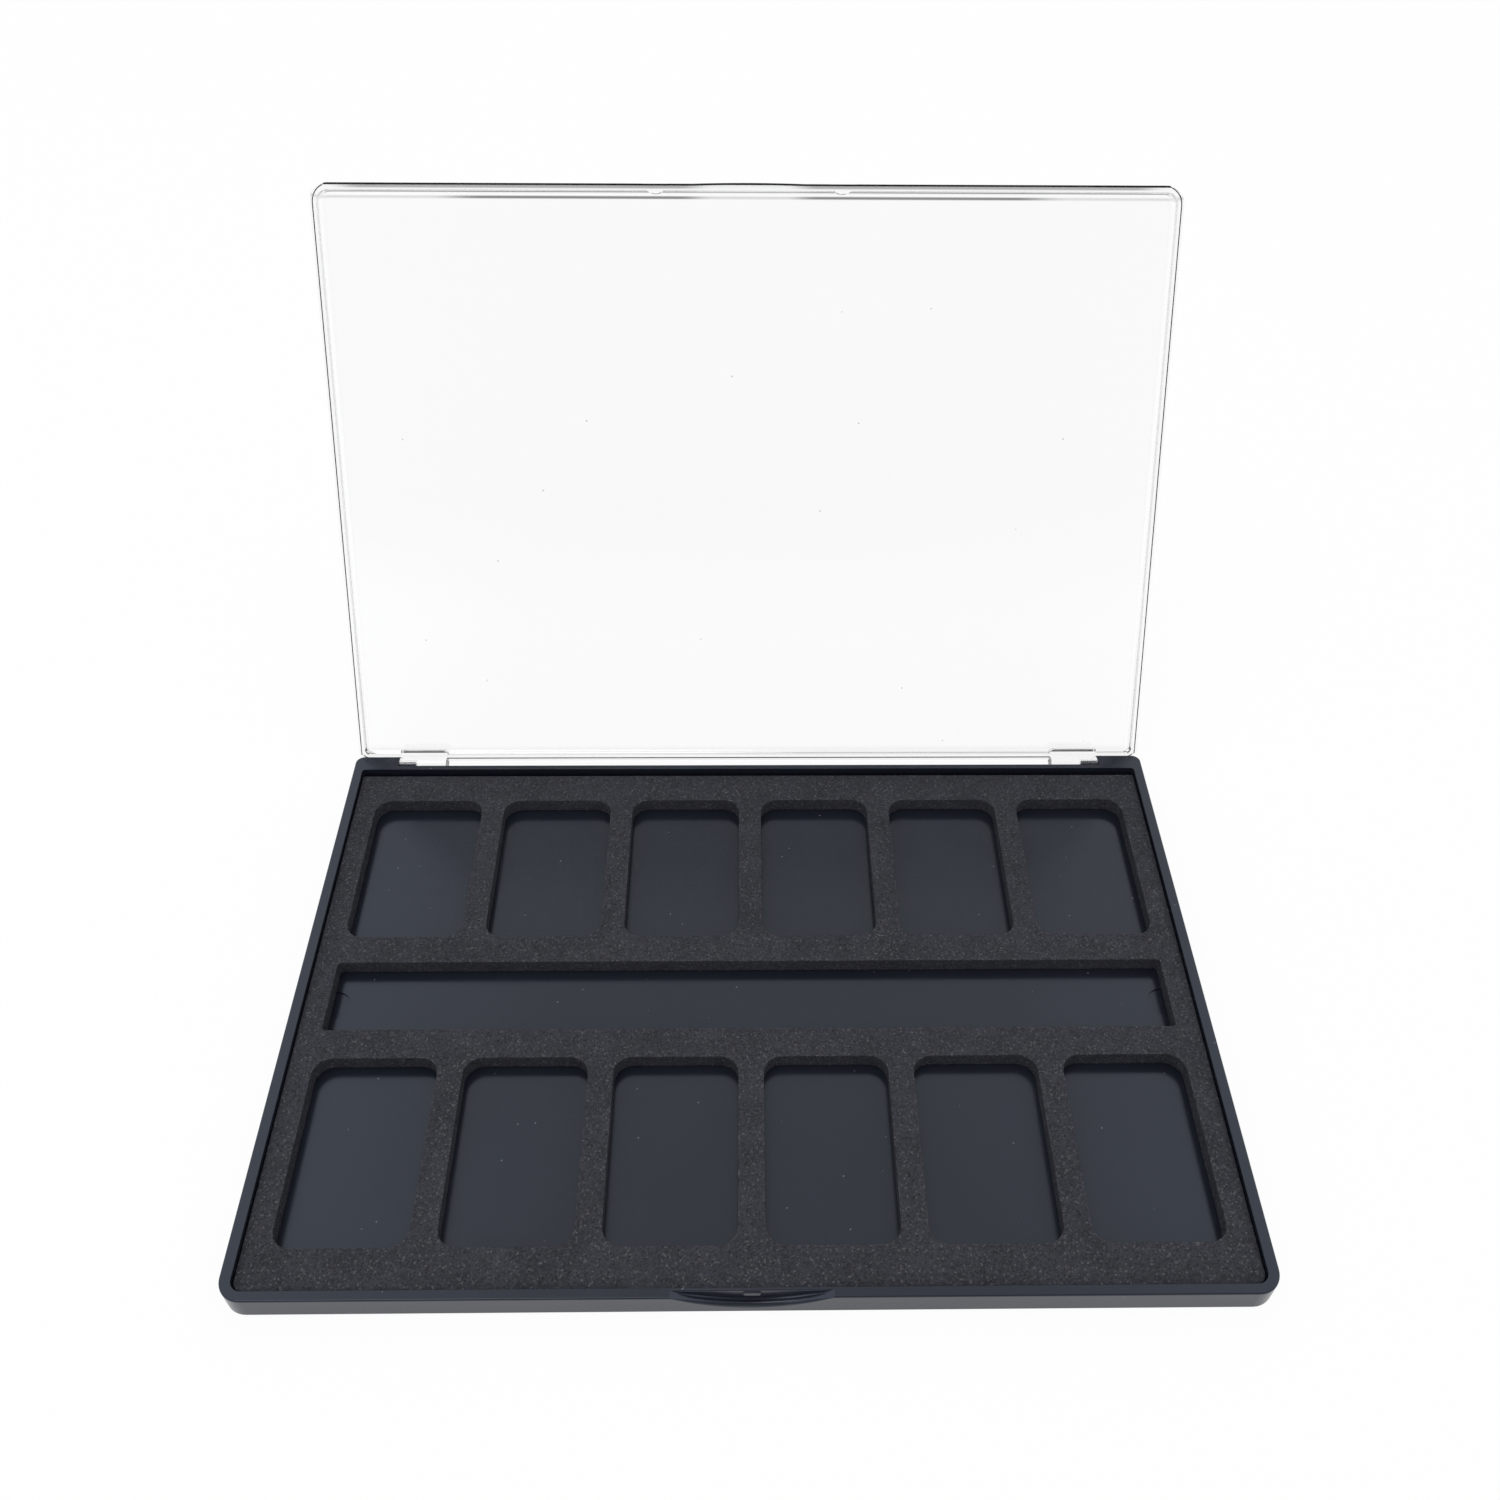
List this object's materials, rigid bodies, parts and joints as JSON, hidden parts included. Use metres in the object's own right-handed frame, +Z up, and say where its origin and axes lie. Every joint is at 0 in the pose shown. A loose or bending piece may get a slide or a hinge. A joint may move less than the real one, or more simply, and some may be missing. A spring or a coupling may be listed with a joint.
{
  "type": "paint palette case",
  "caption": "Flat hinged paint palette case: black tray with a foam sheet of rounded wells and a long brush slot, under a clear snap-shut lid.",
  "frame": {"origin": "centre of the tray's flat underside", "axes": "+X to the user's right, +Y from the finger scoop at the front to the hinge at the back, +Z up"},
  "size_m": [0.25, 0.2594, 0.1591],
  "materials": {
    "tray_plastic": "smooth black moulded plastic",
    "insert_foam": "matt black closed-cell foam with a fine grain",
    "lid_plastic": "clear polished plastic",
    "pin_steel": "drawn steel wire"
  },
  "bodies": {
    "tray": {"base_tray": "tray_plastic", "foam_insert": "insert_foam", "hinge_pin_left": "pin_steel", "hinge_pin_right": "pin_steel"},
    "lid": {"clear_lid": "lid_plastic"}
  },
  "joints": [
    {"name": "lid_hinge", "type": "hinge", "parent": "tray", "child": "lid", "pos_m": [0, 0.0856, 0.006], "axis": [-1, 0, 0], "range_deg": [-118, 0]}
  ]
}
